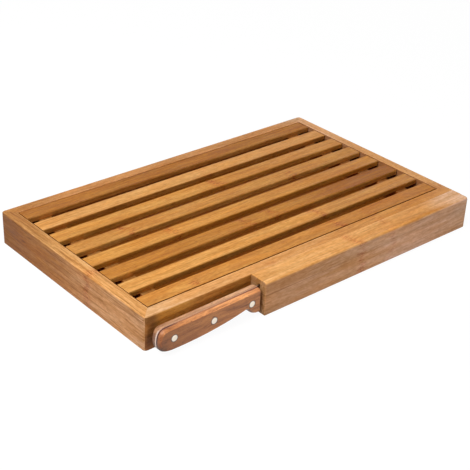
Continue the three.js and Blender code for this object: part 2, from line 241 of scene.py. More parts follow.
plain = (1.0, 1.0, 1.0)
bamboo = {
    # red, green and blue shares, each of which multiplies a piece's own tone
    "darker": (0.76, 0.66, 0.46),  # dark streaks
    "lighter": (1.12, 1.19, 1.36),  # light streaks
    "orange": (1.00, 0.94, 0.84),  # broad clouds of orange
    "straw": (1.00, 1.03, 1.10),  # broad clouds of straw yellow
    "dull": (0.94, 0.91, 0.86),  # small dark flecks
    "pale": (1.06, 1.09, 1.14),  # small light flecks
    "line": (0.66, 0.56, 0.40),  # long dark lines
    "fibre": (0.50, 0.40, 0.32),  # short dark bundles of fibre
    "blush": (0.97, 0.78, 0.72),  # a knuckle's reddish patch,
    "ring": (0.70, 0.54, 0.46),  # its thin line,
    "speck": (0.58, 0.44, 0.34),  # and the dark dashes round it
    "paintedLightAndWear": (1.12, 1.20, 1.45),  # painted highlight along the long edges
    "ends": (0.72, 0.84, 1.20),  # end grain
    "endPores": (0.70, 0.64, 0.58),  # its dots, on top of that
    "glueLine": (0.60, 0.50, 0.46),
    # how long and how wide the marks are, in millimetres, and their detail
    "marks": {
        "sway": (60, 20, 2.0), "cloud": (48, 9, 2.0), "broad": (60, 6, 2.0), "streak": (32, 1.6, 3.0),
        "fine": (14, 0.5, 2.0), "bundle": (7, 0.8, 1.0), "fleck": (5, 1.8, 1.0), "line": (55, 1.3, 1.0),
        "wobble": (8, 5, 2.0), "patch": (9, 4, 2.0), "dash": (3.4, 1.1, 1.0),
    },
    # the values of the noise between which such marks fade in
    "fades": {
        "cloud": (0.34, 0.66), "fleck": (0.36, 0.64), "line": (0.54, 0.66), "bundle": (0.62, 0.74),
        "patch": (0.36, 0.62), "dash": (0.52, 0.64), "dots": (0.15, 0.45),
    },
    # how far a face points along the grain, up or inwards where such a share starts, and where it is full
    "facings": {"end": (0.75, 0.95), "upright": (0.85, 0.08), "inner": (0.5, 0.9)},
    "seedStep": (311.0, 57.0, 23.0),  # how far one seed moves the pattern
    "swayWidth": 6.0,
    "streakShare": 0.36,  # what the streaks add to the tone,
    "fineShare": 0.26,  # what the finest ones add, and the broad ones give the rest
    "toneReach": 0.17,  # the wider, the softer the streaks
    "lineShare": 0.3,
    "fibreShare": 0.55,
    "knotWobble": 9.0,
    "knotReach": (9.0, 1.0),  # from a knuckle's middle: where its patch fades in, and where it is full
    "ringReach": (1.0, 0.2),
    "ringShare": 0.5,
    "knotFibres": 0.11,
    "paintedEdgeReach": (1.7, 0.7),  # from a long edge
    "paintedEdgeShare": 0.6,
    "glueReach": (0.8, 0.1),
    "dotScale": 1.3,
    "roughness": (0.46, 0.66),
    "specular": 0.2,
    "relief": (0.5, 0.00007),
    "ridges": (0.6, -0.8),  # how much the finest streaks stand up, and the fibres sink in
}


# Bamboo cut along the culm. Streaks in three widths and broad clouds shift the tone, and short bundles of
# fibre darken it. A knuckle is a reddish patch with more fibres and a thin line, long edges get a painted
# highlight,
# and faces across the grain show dotted end grain. A look may hold:
# along (x or y), seed, tone, contrast, and across (its two long edges, where they aren't the node's own);
# fine, fibres, lines: how strong the finest streaks, the fibres and the long dark lines are;
# side, inner, edges, ends: shares on upright faces, on the one towards the board's middle, on long edges and
# on end grain;
# knots: place along the grain, slant, strength;
# drifts along the grain: start, end, shares on top, shares on upright faces;
# rises up the upright faces: start, end, shares below, shares above;
# glue: the line's height and strength, and where it is strongest and where it ends.
# The side, inner, edge, drift and rise shares hold painted light and shade as well as the wood's tone, and the
# slats' end shares are painted shade.
def bambooFinish(node, look):
    material, tree, shader = newFinish(node + "_finish", {"Specular IOR Level": bamboo["specular"]})
    turned = look.get("along", "x")
    low, high = boxOf(node)
    sides = look.get("across", (-high[0], -low[0]) if turned == "y" else (low[1], high[1]))
    middle, breadth = (sides[0] + sides[1]) / 2, (sides[1] - sides[0]) / 2
    rise, tall = (low[2] + high[2]) / 2, (high[2] - low[2]) / 2
    place = alongGrain(tree, turned)
    along, across, height = components(tree, place)
    facing = components(tree, alongGrain(tree, turned, "Normal"))
    endShare = spread(tree, calc(tree, "ABSOLUTE", facing[0]), *bamboo["facings"]["end"])
    sideShare = spread(tree, calc(tree, "ABSOLUTE", facing[2]), *bamboo["facings"]["upright"])
    topShare = calc(tree, "SUBTRACT", 1.0, sideShare)

    def marks(kind, at):
        return grainNoise(tree, at, *bamboo["marks"][kind])

    def faded(value, kind, share=1.0):
        return spread(tree, value, *bamboo["fades"][kind], 0.0, share)

    seed = calcVector(tree, "ADD", place, tuple(look["seed"] * step for step in bamboo["seedStep"]))
    sway = times(tree, marks("sway", seed), bamboo["swayWidth"])
    grain = calcVector(tree, "ADD", seed, addNode(tree, "CombineXYZ", {1: sway}).outputs[0])
    streak = marks("streak", grain)
    fine = marks("fine", grain)
    bundle = marks("bundle", grain)

    streakShare, fineShare = bamboo["streakShare"], look.get("fine", bamboo["fineShare"])
    level = times(tree, streak, streakShare)
    level = calc(tree, "MULTIPLY_ADD", marks("broad", grain), 1 - streakShare - fineShare, level)
    level = calc(tree, "MULTIPLY_ADD", fine, fineShare, level)
    reach = bamboo["toneReach"] / look.get("contrast", 1.0)
    light = spread(tree, level, 0.5 - reach, 0.5 + reach)
    colour = mixColours(tree, light, bamboo["darker"], bamboo["lighter"])
    hue = mixColours(tree, faded(marks("cloud", grain), "cloud"), bamboo["orange"], bamboo["straw"])
    small = mixColours(tree, faded(marks("fleck", grain), "fleck"), bamboo["dull"], bamboo["pale"])
    for shares in (hue, small, shade(look["tone"])):
        colour = tint(tree, 1.0, colour, shares)

    lines = faded(marks("line", grain), "line", look.get("lines", bamboo["lineShare"]))
    colour = tint(tree, lines, colour, bamboo["line"])

    if "knots" in look:
        near, thin = 0.0, 0.0
        swing = bamboo["knotWobble"]
        wobble = calc(tree, "MULTIPLY_ADD", marks("wobble", seed), swing, -swing / 2)
        patch = faded(marks("patch", seed), "patch")
        for spot, slant, strength in look["knots"]:
            away = calc(tree, "MULTIPLY_ADD", across, slant, -spot - slant * middle)
            away = calc(tree, "ABSOLUTE", calc(tree, "ADD", calc(tree, "ADD", along, away), wobble))
            blush = spread(tree, away, *bamboo["knotReach"], 0.0, strength)
            near = calc(tree, "MAXIMUM", near, times(tree, blush, patch))
            ring = spread(tree, away, *bamboo["ringReach"], 0.0, bamboo["ringShare"] * strength)
            thin = calc(tree, "MAXIMUM", thin, ring)
        dash = faded(marks("dash", seed), "dash")
        colour = tint(tree, near, colour, bamboo["blush"])
        colour = tint(tree, times(tree, thin, patch), colour, bamboo["ring"])
        colour = tint(tree, times(tree, dash, near), colour, bamboo["speck"])
        bundle = calc(tree, "MULTIPLY_ADD", near, bamboo["knotFibres"], bundle)
    fibres = faded(bundle, "bundle", look.get("fibres", bamboo["fibreShare"]))
    colour = tint(tree, fibres, colour, bamboo["fibre"])

    # Painted highlight along the long top edges, which the slats' edge shares turn into painted shade.
    edge = insideBand(tree, across, middle, breadth)
    edge = calc(tree, "ADD", edge, insideBand(tree, height, rise, tall))
    paintedLightAndWear = spread(tree, edge, *bamboo["paintedEdgeReach"], 0.0, bamboo["paintedEdgeShare"])
    paintedLightAndWear = times(tree, paintedLightAndWear, topShare)
    colour = tint(tree, paintedLightAndWear, colour, look.get("edges", bamboo["paintedLightAndWear"]))
    # Upright faces and the inner face take shares that hold painted light and shade as well as the tone.
    if "side" in look:
        colour = tint(tree, sideShare, colour, look["side"])
    if "inner" in look:
        inwards = times(tree, facing[1], -1.0 if middle > 0 else 1.0)
        colour = tint(tree, spread(tree, inwards, *bamboo["facings"]["inner"]), colour, look["inner"])
    # Rises and drifts hold painted light and shade as well as the tone.
    for start, end, below, above in look.get("rises", []):
        shares = mixColours(tree, spread(tree, height, start, end), below, above)
        colour = tint(tree, sideShare, colour, shares)
    for start, end, onTop, onSide in look.get("drifts", []):
        shares = mixColours(tree, sideShare, onTop, onSide)
        colour = tint(tree, spread(tree, along, start, end), colour, shares)
    if "glue" in look:
        lineHeight, strength, start, end = look["glue"]
        away = calc(tree, "ABSOLUTE", calc(tree, "SUBTRACT", height, lineHeight))
        line = times(tree, spread(tree, away, *bamboo["glueReach"]), sideShare)
        line = times(tree, line, spread(tree, along, end, start, 0.0, strength))
        colour = tint(tree, line, colour, bamboo["glueLine"])

    feeds = {"Vector": seed, "Scale": bamboo["dotScale"]}
    dots = addNode(tree, "TexVoronoi", feeds, voronoi_dimensions="3D").outputs[0]
    pores = mixColours(tree, faded(dots, "dots"), bamboo["endPores"], plain)
    pores = tint(tree, 1.0, pores, look.get("ends", bamboo["ends"]))
    colour = tint(tree, endShare, colour, pores)

    fineRidge, fibreRidge = bamboo["ridges"]
    relief = calc(tree, "MULTIPLY_ADD", fine, fineRidge, times(tree, fibres, fibreRidge))
    feedShader(tree, shader, bamboo, colour, streak, relief)
    return material


handleWood = {
    "tones": [(0.33, (159, 100, 60)), (0.5, (221, 151, 96)), (0.68, (253, 184, 120))],
    "pore": (109, 64, 42),
    "rivetSeatShade": (98, 70, 56),  # painted shade round each rivet, where it is let in
    # red, green and blue shares that multiply those tones
    "face": (0.57, 0.52, 0.44),  # painted shade: the flat faces are darker than the rolled edges, which face the light
    "guardEnd": (0.50, 0.44, 0.42),  # end grain at the guard, darkened further with painted shade where the handle meets the housing
    "buttEnd": (0.60, 0.52, 0.46),  # painted shade on the butt's end face
    "under": (0.50, 0.50, 0.52),  # painted shade on the underside
    "heel": (0.36, 0.36, 0.42),  # painted shade round the butt's lower corner
    "butt": (0.74, 0.64, 0.56),  # darker towards the butt,
    "guard": (1.06, 1.00, 0.94),  # and lighter towards the guard
    "seam": (0.20, 0.10, 0.06),  # a dark line beside the tang
    "paintedLightAndWear": (0.92, 1.20, 1.73),  # painted sheen: the inner scale is paler and pinker than the outer one
    # how long and how wide the marks are, in millimetres, and their detail
    "marks": {
        "sway": (40, 14, 2.0), "broad": (36, 5, 2.0), "streak": (24, 1.3, 3.0), "pore": (4.5, 0.4, 1.0),
    },
    # how far a face points along the handle, sideways or up where each of these starts, and where it is full
    "facings": {
        "face": (0.92, 0.97), "guardEnd": (0.5, 0.9), "butt": (-0.25, -0.65), "buttEnd": (0.7, 0.3),
        "under": (0.0, -0.5),
    },
    "swayWidth": 12.0,
    "streakShare": 0.5,  # what the streaks add to the tone, and the broad ones give the rest
    "poreFade": (0.58, 0.70),
    "poreShare": 0.65,
    "driftShare": 0.6,  # how much of the handle the butt's darkness fades over
    "ringReach": (1.1, 0.1),  # from the rivet's edge
    "heelAlong": (12.0, 1.0),  # from the butt,
    "heelUp": (14.0, 3.0),  # and from the belly's lowest point
    "seamDepth": (-1.9, -1.52),  # from the tang
    "seamReach": (28.0, 12.0),  # from the butt: where it starts to show, and where it is at its darkest
    "seamShares": (0.3, 0.9),  # how strong it is at least, at the butt and at the guard
    "roughness": (0.34, 0.5),
    "specular": 0.4,
    "relief": (0.4, 0.0001),
}


# Reddish hardwood: streaks along the handle and short dark pores. Painted shade darkens the flat faces below
# the lit rolled edges, the butt's end face, the underside, the butt's lower corner and a ring round each rivet,
# and end grain with painted shade darkens the guard's end. The outer scale has a dark line beside the tang, and
# painted sheen makes the inner scale paler.
def handleWoodFinish(node, seedShift, rivetPlaces, rivetRadius):
    material, tree, shader = newFinish(node + "_finish", {"Specular IOR Level": handleWood["specular"]})
    low, high = boxOf(node)
    place = alongGrain(tree, "x")
    along, depth, height = components(tree, place)
    facing = components(tree, alongGrain(tree, "x", "Normal"))

    def marks(kind, at):
        return grainNoise(tree, at, *handleWood["marks"][kind])

    seed = calcVector(tree, "ADD", place, (seedShift, seedShift / 3, seedShift / 7))
    sway = times(tree, marks("sway", seed), handleWood["swayWidth"])
    grain = calcVector(tree, "ADD", seed, addNode(tree, "CombineXYZ", {2: sway}).outputs[0])
    streak = marks("streak", grain)
    level = times(tree, streak, handleWood["streakShare"])
    level = calc(tree, "MULTIPLY_ADD", marks("broad", grain), 1 - handleWood["streakShare"], level)
    colour = ramp(tree, level, [(value, shade(tone)) for value, tone in handleWood["tones"]])
    pores = spread(tree, marks("pore", grain), *handleWood["poreFade"], 0.0, handleWood["poreShare"])
    colour = mixColours(tree, pores, colour, shade(handleWood["pore"]))

    facings = handleWood["facings"]
    butt = spread(tree, facing[0], *facings["butt"])
    heel = fromEdge(tree, along, low[0], handleWood["heelAlong"])
    # Painted shade on the flat faces, the butt's end face, the underside and the butt's lower corner, and end
    # grain with painted shade at the guard's end.
    shadeAndEndGrain = {
        "face": spread(tree, calc(tree, "ABSOLUTE", facing[1]), *facings["face"]),
        "guardEnd": spread(tree, facing[0], *facings["guardEnd"]),
        "buttEnd": times(tree, butt, spread(tree, facing[2], *facings["buttEnd"])),
        "under": spread(tree, facing[2], *facings["under"]),
        "heel": times(tree, heel, fromEdge(tree, height, low[2], handleWood["heelUp"])),
    }
    for part, share in shadeAndEndGrain.items():
        colour = tint(tree, share, colour, handleWood[part])
    drift = spread(tree, along, low[0], low[0] + handleWood["driftShare"] * (high[0] - low[0]))
    colour = tint(tree, 1.0, colour, mixColours(tree, drift, handleWood["butt"], handleWood["guard"]))
    # Painted shade round each rivet.
    for x, z in rivetPlaces:
        ring = fromEdge(tree, awayFromRivet(tree, place, x, z), rivetRadius, handleWood["ringReach"])
        colour = mixColours(tree, ring, colour, shade(handleWood["rivetSeatShade"]))
    if node == "scale_outer":
        seam = fromEdge(tree, depth, high[1], handleWood["seamDepth"])
        strength = spread(tree, along, low[0], high[0], *handleWood["seamShares"])
        atButt = fromEdge(tree, along, low[0], handleWood["seamReach"])
        seam = times(tree, seam, calc(tree, "MAXIMUM", strength, atButt))
        colour = tint(tree, seam, colour, handleWood["seam"])
    else:
        # Painted sheen makes the inner scale paler.
        colour = tint(tree, 1.0, colour, handleWood["paintedLightAndWear"])
    feedShader(tree, shader, handleWood, colour, streak, times(tree, pores, -1.0))
    return material


bladeSteel = {
    "tone": (198, 199, 202),
    "cloudShade": 0.93,
    "cloud": (30, 12, 2.0),
    "tang": (216, 187, 169),  # the tang's edge round the butt,
    "tangEdge": (191, 138, 98),  # and its upper edge, stained between the scales
    "tangReach": (0.0, -1.0),  # from the handle's front end
    "tangShine": -0.8,  # how much less metallic the tang looks
    "heel": (96, 78, 66),  # painted shade in the gap where the blade leaves the handle
    "gapShadeReach": (4.5, 2.7),
    "gapShadeOnTop": 0.5,  # how strong that painted shade is on the upper edge
    "upperEdge": (0.6, 0.95),  # how far a face points up where that edge starts, and where it is full
    "scratches": (4.0, 4.0, 0.025),  # in a millimetre along each axis
    "roughness": (0.22, 0.36),
    "relief": (0.15, 0.00003),
}


# Stainless steel, brushed across the blade: fine scratches vary the roughness and the relief.
# handleEnd is where the handle's front end lies.
def bladeSteelFinish(name, handleEnd):
    material, tree, shader = newFinish(name)
    place = alongGrain(tree, "x")
    along = components(tree, place)[0]
    up = components(tree, alongGrain(tree, "x", "Normal"))[2]
    scratch = drawnNoise(tree, place, bladeSteel["scratches"], detail=3.0, roughness=0.5)
    tone = np.array(bladeSteel["tone"])
    cloud = grainNoise(tree, place, *bladeSteel["cloud"])
    colour = mixColours(tree, cloud, shade(bladeSteel["cloudShade"] * tone), shade(tone))
    onTang = fromEdge(tree, along, handleEnd, bladeSteel["tangReach"])
    colour = mixColours(tree, onTang, colour, shade(bladeSteel["tang"]))
    stain = times(tree, spread(tree, up, *bladeSteel["upperEdge"]), onTang)
    colour = mixColours(tree, stain, colour, shade(bladeSteel["tangEdge"]))
    # Painted shade on the blade in the gap between the handle and the housing.
    gapShade = fromEdge(tree, along, handleEnd, bladeSteel["gapShadeReach"])
    gapShade = times(tree, gapShade, calc(tree, "SUBTRACT", 1.0, onTang))
    onTop = spread(tree, up, *bladeSteel["upperEdge"], 1.0, bladeSteel["gapShadeOnTop"])
    gapShade = times(tree, gapShade, onTop)
    colour = mixColours(tree, gapShade, colour, shade(bladeSteel["heel"]))
    metallic = calc(tree, "MULTIPLY_ADD", onTang, bladeSteel["tangShine"], 1.0)
    feedShader(tree, shader, bladeSteel, colour, scratch, scratch, Metallic=metallic)
    return material


rivetMetal = {
    "tone": (231, 218, 201),
    "rimShade": 0.72,
    "rimShare": 0.8,  # of the radius, where the worn rim starts
    "scratches": (0.6, 0.6, 4.0),
    "roughness": (0.34, 0.5),
    "relief": (0.2, 0.00004),
}


# Soft white metal, filed flush with the handle: fine marks in one direction and a slightly worn rim.
def rivetFinish(name, centre, radius):
    material, tree, shader = newFinish(name, {"Metallic": 1.0})
    place = alongGrain(tree, "x")
    scratch = drawnNoise(tree, place, rivetMetal["scratches"], detail=3.0, roughness=0.5)
    away = awayFromRivet(tree, place, centre[0], centre[2])
    paintedLightAndWear = spread(tree, away, rivetMetal["rimShare"] * radius, radius)
    tone = np.array(rivetMetal["tone"])
    colour = mixColours(tree, paintedLightAndWear, shade(tone), shade(rivetMetal["rimShade"] * tone))
    feedShader(tree, shader, rivetMetal, colour, scratch, scratch)
    return material


# Quads between the rows of a grid, each row closed on itself, and its first and last row as flat caps.
def gridFaces(rowCount, columnCount):
    corner = np.arange(rowCount * columnCount).reshape(rowCount, columnCount)
    near, far = corner[:-1], corner[1:]
    quads = np.stack([near, np.roll(near, -1, 1), np.roll(far, -1, 1), far], -1).reshape(-1, 4)
    return quads, corner[0, ::-1], corner[-1]


# Six times the volume inside the faces, as the sum over triangles of what each spans with their middle.
def volumeInside(points, quads, caps):
    fans = [np.stack([np.full(len(cap) - 2, cap[0]), cap[1:-1], cap[2:]], -1) for cap in caps]
    triangles = np.concatenate([quads[:, :3], quads[:, [0, 2, 3]], *fans])
    a, b, c = (points[triangles[:, k]] - points.mean(0) for k in range(3))
    return np.einsum("ij,ij->", a, np.cross(b, c))


# A piece from a grid of points (row, column, xyz) in millimetres. Its volume tells which way its faces point.
# crease: the angle in degrees from which an edge stays sharp.
def makePiece(name, grid, finish, body, node, crease=32):
    points = grid.reshape(-1, 3) * millimetre
    quads, *caps = gridFaces(*grid.shape[:2])
    if volumeInside(points, quads, caps) < 0:
        quads, caps = quads[:, ::-1], [cap[::-1] for cap in caps]
    mesh = bpy.data.meshes.new(name)
    mesh.from_pydata(points.tolist(), [], quads.tolist() + [cap.tolist() for cap in caps])
    mesh.validate()
    mesh.shade_smooth()
    mesh.set_sharp_from_angle(angle=math.radians(crease))
    mesh.materials.append(finish)
    piece = bpy.data.objects.new(name, mesh)
    scene.collection.objects.link(piece)
    weighted = piece.modifiers.new("flat_faces", "WEIGHTED_NORMAL")
    weighted.keep_sharp = True
    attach(piece, body)
    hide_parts(node)


# A rounded corner of a section as unit steps from the corner's centre, from one angle over a quarter turn.
def cornerSteps(start, count):
    turn = start + np.linspace(0, quarter, count)
    return np.stack([np.cos(turn), np.sin(turn)], -1)


# A bar along x. Its section is a rectangle with rounded corners. Near each end the section draws in along a
# quarter circle, by its own amount on each side, so that the end's edges are rounded too.
# radii: bottom back, top back, top front, bottom front. Each end: the draw-in of front, back, bottom and top.
# pocket: a slit in the back, from the left end to its own end, with a floor, a roof and a depth.
def barGrid(low, high, radii, leftEnd, rightEnd, pocket=None):
    steps = 6
    turn = np.linspace(0, quarter, steps)
    reach = [max(*end, hair / 2) for end in (leftEnd, rightEnd)]
    leftX = low[0] + reach[0] * (1 - np.cos(turn))
    rightX = high[0] - reach[1] * (1 - np.cos(turn))[::-1]
    middleX = [] if pocket is None else [pocket["end"] - hair, pocket["end"]]
    x = np.concatenate([leftX, middleX, rightX])
    idle = np.zeros((len(middleX), 4))
    draw = 1 - np.sin(turn)
    inset = np.concatenate([np.outer(draw, leftEnd), idle, np.outer(draw[::-1], rightEnd)])
    front, back, bottom, top = inset.T
    # each corner's y and z, the quarter turn at which it starts, and how far it is drawn in
    corners = [
        (high[1] - back, low[2] + bottom, -1, back + bottom),
        (high[1] - back, high[2] - top, 0, back + top),
        (low[1] + front, high[2] - top, 1, front + top),
        (low[1] + front, low[2] + bottom, 2, front + bottom),
    ]
    columns = []
    for index, (y, z, quarterTurn, drawn) in enumerate(corners):
        unit = cornerSteps(quarterTurn * quarter, steps)
        radius = np.maximum(radii[index] - drawn / 2, hair)
        outward = np.array([1 if index < 2 else -1, 1 if index in (1, 2) else -1])
        centreY = y - outward[0] * radius
        centreZ = z - outward[1] * radius
        loopY = centreY[:, None] + radius[:, None] * unit[:, 0]
        loopZ = centreZ[:, None] + radius[:, None] * unit[:, 1]
        columns.append(np.stack([loopY, loopZ], -1))
        if index == 0 and pocket is not None:
            deep = np.where(x < pocket["end"] - hair / 2, pocket["depth"], hair)
            floor, roof = np.full(len(x), pocket["floor"]), np.full(len(x), pocket["roof"])
            slot = [(y, floor), (y - deep, floor), (y - deep, roof), (y, roof)]
            columns.append(np.stack([np.stack(point, -1) for point in slot], 1))
    section = np.concatenate(columns, 1)
    along = np.repeat(x[:, None], section.shape[1], 1)
    return np.dstack([along, section])


def makeBamboo(node, grid, look, body):
    makePiece(node + "_bamboo", grid, bambooFinish(node, look), body, node)


# A bamboo bar on its node's box, with all its end edges rounded alike. A bar along y is worked out along x
# and then turned.
def makeBar(node, look, body, radii, endRound):
    order = [1, 0, 2] if look.get("along") == "y" else [0, 1, 2]
    low, high = boxOf(node)
    ends = (endRound,) * 4
    grid = barGrid(low[order], high[order], radii, ends, ends)[:, :, order]
    makeBamboo(node, grid, look, body)


frameShape = {
    "topRound": 1.6,
    "bottomRound": 0.5,
    "cornerRound": 3.2,
    "innerRound": 0.3,
    "jointGap": 0.03,
    "groove": (5.0, 10.3, 4.0),  # its floor, its roof and its depth
    "plainEnd": (0, 0.2, 0.5, 0.9, 1.4, 2.0),  # where the rows lie at an end with no rounded corner
    "squareStart": 0.3,  # from the housing's left end
}


# A mitred rail on one side of the board. The section is carried along the side, and near an outer corner its
# outer face turns in along an arc, up to the mitre at 45 degrees. v runs inwards from the outer face.
# rounds: the corner radius at each end. squareFrom: past it the outer edges are square, as wood is glued on.
# tip: the board's end, towards which the rail's top and bottom edges are rounded.
def railGrid(start, end, inward, rounds, squareFrom=None, tip=None):
    start, end, inward = (np.array(value, float) for value in (start, end, inward))
    length = np.linalg.norm(end - start)
    along = (end - start) / length
    top, bottom, inner = (frameShape[key] for key in ("topRound", "bottomRound", "innerRound"))
    grooveFloor, grooveRoof, grooveDepth = frameShape["groove"]

    # One corner of the section, and the section from the outer lower edge inwards and back over the top.
    def corner(v, z, radius, turn, square=False):
        unit = cornerSteps(turn * quarter, 8)
        if square:
            unit = unit / np.abs(unit).max(1, keepdims=True)
        return np.array((v, z)) + radius * unit

    def section(square):
        inside = railWidth - grooveDepth
        return np.concatenate([
            corner(bottom, bottom, bottom, 2, square),
            corner(railWidth - inner, inner, inner, 3),
            [(railWidth, grooveFloor), (inside, grooveFloor), (inside, grooveRoof), (railWidth, grooveRoof)],
            corner(railWidth - inner, boardTop - inner, inner, 0),
            corner(top, boardTop - top, top, 1, square),
        ])

    rounded, squared = section(False), section(True)

    # One end's rows, from its mitre inwards: places along the rail and the section's v and z.
    def endRows(radius, square):
        if radius > 0:
            turn = np.linspace(quarter / 2, quarter, 7)
            slide = radius * (np.sin(turn) - np.cos(turn))
            shift = radius * (1 - np.sin(turn))
        else:
            slide = np.array(frameShape["plainEnd"])
            shift = np.zeros(len(slide))
        v, z = (squared if square else rounded).T
        fade = np.clip(1 - v / max(radius, hair / 2), 0, 1)
        vRows = v + shift[:, None] * fade
        return vRows + slide[:, None] + frameShape["jointGap"], vRows, np.tile(z, (len(slide), 1))

    parts = [endRows(rounds[0], False)]
    if squareFrom is not None:
        for place, shape in ((squareFrom - hair, rounded), (squareFrom, squared)):
            v, z = shape.T
            parts.append((np.full((1, len(v)), place), v[None], z[None]))
    u, v, z = endRows(rounds[1], squareFrom is not None)
    parts.append((length - u[::-1], v[::-1], z[::-1]))
    u, v, z = (np.concatenate(part) for part in zip(*parts))
    flat = start + u[..., None] * along + v[..., None] * inward
    if tip is not None:
        past = np.clip(flat[..., 0] - (tip - top), 0, top)
        z = np.minimum(z, boardTop - top + np.sqrt(top**2 - past**2))
        past = np.clip(flat[..., 0] - (tip - bottom), 0, bottom)
        z = np.maximum(z, bottom - np.sqrt(bottom**2 - past**2))
    return np.dstack([flat, z])


cornerRound = frameShape["cornerRound"]
rails = {
    "left_rail": {
        "route": ((left, railFront), (left, back), (1, 0), (cornerRound, cornerRound)),
        "slot": "bamboo_brown",
        # Painted shade darkens the inner face, and the side shares and drifts hold painted light and shade as
        # well as the tone.
        "look": {"along": "y", "seed": 3, "tone": (231, 168, 98), "contrast": 1.3, "knots": [(-19, 0.0, 0.7)],
                 "side": (0.75, 0.77, 1.03), "inner": (0.60, 0.52, 0.50), "lines": 0.9,
                 "drifts": [(-60, 50, (0.80, 0.80, 0.76), (0.66, 0.52, 0.28)),
                            (45, 115, (0.70, 0.62, 0.53), (0.66, 0.60, 0.54)),
                            (-75, -110, plain, (0.92, 0.94, 1.02))]},
    },
    "back_rail": {
        "route": ((left, back), (right, back), (0, -1), (cornerRound, cornerRound)),
        "slot": "bamboo_brown",
        # Painted light makes the inner face paler, the paler right end of the top is a painted highlight, and
        # the side shares and other drifts hold painted light and shade as well as the tone.
        "look": {"seed": 7, "tone": (209, 146, 85), "contrast": 1.2,
                 "side": (0.80, 0.80, 0.90), "inner": (1.50, 1.55, 1.65),
                 "drifts": [(-110, -175, (0.79, 0.72, 0.53), plain),
                            (60, 130, (1.08, 1.06, 1.05), plain),
                            (140, 185, (0.98, 1.17, 1.68), plain)]},
    },
    "right_rail": {
        "route": ((right, back), (right, railFront), (-1, 0), (cornerRound, 0)),
        "slot": "bamboo",
        # Painted shade darkens the inner face, the paler back half of the top is a painted highlight, and the
        # side shares and the other drift hold painted light and shade as well as the tone.
        "look": {"along": "y", "seed": 11, "tone": (228, 165, 98), "knots": [(-89, 0.3, 0.5)],
                 "side": (0.80, 0.80, 0.90), "inner": (0.72, 0.66, 0.72),
                 "drifts": [(-60, -100, (0.79, 0.72, 0.66), plain),
                            (0, 120, (1.12, 1.24, 1.85), plain)]},
    },
    "front_rail": {
        "route": ((left, railFront), (right, railFront), (0, 1), (cornerRound, 0)),
        "glued": {"squareFrom": housingLeft - left + frameShape["squareStart"], "tip": right},
        "slot": "bamboo",
        # Painted shade darkens the inner face, the face low down behind the handle and the corner behind the
        # butt; the brighter band on the face and the brighter sides near the handle are painted light, the
        # paler right end is a painted highlight, and the other drifts hold painted light and shade as well as
        # the tone.
        "look": {"seed": 17, "tone": (231, 167, 99), "knots": [(-53, 0.3, 0.4), (86, 0.3, 0.6)],
                 "side": (0.71, 0.66, 0.51), "inner": (0.60, 0.52, 0.50),
                 "rises": [(11.0, 21.0, (0.50, 0.42, 0.40), plain),
                           (21.0, 29.5, (1.45, 1.38, 1.12), (0.80, 0.72, 0.52))],
                 "drifts": [(-60, 130, (0.86, 0.73, 0.43), plain),
                            (-125, -85, plain, (0.84, 0.88, 0.82)),
                            (-130, -155, plain, (1.42, 1.55, 1.50)),
                            (-172, -182, plain, (0.40, 0.36, 0.45)),
                            (-130, -180, (1.00, 1.16, 1.60), plain),
                            (135, 175, (1.05, 1.15, 1.60), plain)]},
    },
}

for node, rail in rails.items():
    grid = railGrid(*rail["route"], **rail.get("glued", {}))
    makeBamboo(node, grid, rail["look"], "frame")
print("frame rails made")

housing = {
    "seamRound": 0.05,
    "frontRound": 2.8,  # its top edge at the front
    "endRound": 1.0,
    "cornerRound": 2.5,
    "slitBeyondTip": 3.0,  # from the blade's tip to the slit's end
    "slitAboveSpine": 1.2,  # from the blade's spine to the slit's roof
    "slitHeight": 23.8,
    "slitDepth": 2.0,
    # one length of bamboo, sawn in two and glued, so the grain runs over both boards. The paler right end of
    # the top is a painted highlight, and the side shares, rises and other drifts hold painted light and shade
    # as well as the tone
    "look": {"seed": 23, "tone": (243, 179, 106), "contrast": 0.8, "fine": 0.1, "fibres": 0.25,
             "across": (front, railFront), "knots": [(38, 0.3, 0.8), (84, -0.2, 0.4)],
             "side": (0.59, 0.58, 0.80), "ends": (1.05, 1.15, 1.15), "glue": (20.0, 0.8, -77.0, 150.0),
             "rises": [(17.0, 22.0, plain, (0.90, 0.90, 0.88)),
                       (0.0, 4.0, (1.00, 1.10, 1.25), plain)],
             "drifts": [(-60, 50, plain, (1.19, 1.31, 1.52)),
                        (0, 120, (0.87, 0.77, 0.60), (1.0, 1.0, 1.10)),
                        (130, 175, (1.14, 1.46, 3.10), (0.98, 1.02, 1.06))]},
}


# The housing's two glued boards are bars. The outer one has the slit for the blade cut into its back.
def makeHousing():
    seam, endRound = housing["seamRound"], housing["endRound"]
    top, bottom = frameShape["topRound"], frameShape["bottomRound"]
    bladeTip, _, spine = boxOf("blade")[1]
    roof = spine + housing["slitAboveSpine"]
    slit = {
        "end": bladeTip + housing["slitBeyondTip"],
        "floor": roof - housing["slitHeight"],
        "roof": roof,
        "depth": housing["slitDepth"],
    }
    edges = (seam, seam, housing["frontRound"], bottom)
    leftEnd, rightEnd = (endRound, 0, bottom, endRound), (housing["cornerRound"], 0, bottom, top)
    grid = barGrid(*boxOf("housing_outer"), edges, leftEnd, rightEnd, slit)
    makeBamboo("housing_outer", grid, housing["look"], "frame")
    edges, leftEnd, rightEnd = (seam,) * 4, (0, 0, bottom, endRound), (0, 0, bottom, top)
    grid = barGrid(*boxOf("housing_inner"), edges, leftEnd, rightEnd)
    makeBamboo("housing_inner", grid, housing["look"], "frame")


makeHousing()

crumbFloor = {
    "round": 0.4,
    # its dark tone is partly painted shade under the grille
    "look": {"seed": 31, "tone": (149, 84, 13), "knots": [(-60, 0.02, 0.5), (110, 0.02, 0.5)]},
}
edges = (crumbFloor["round"],) * 4
makeBar("crumb_floor", crumbFloor["look"], "frame", edges, crumbFloor["round"])
print("housing and crumb floor made")
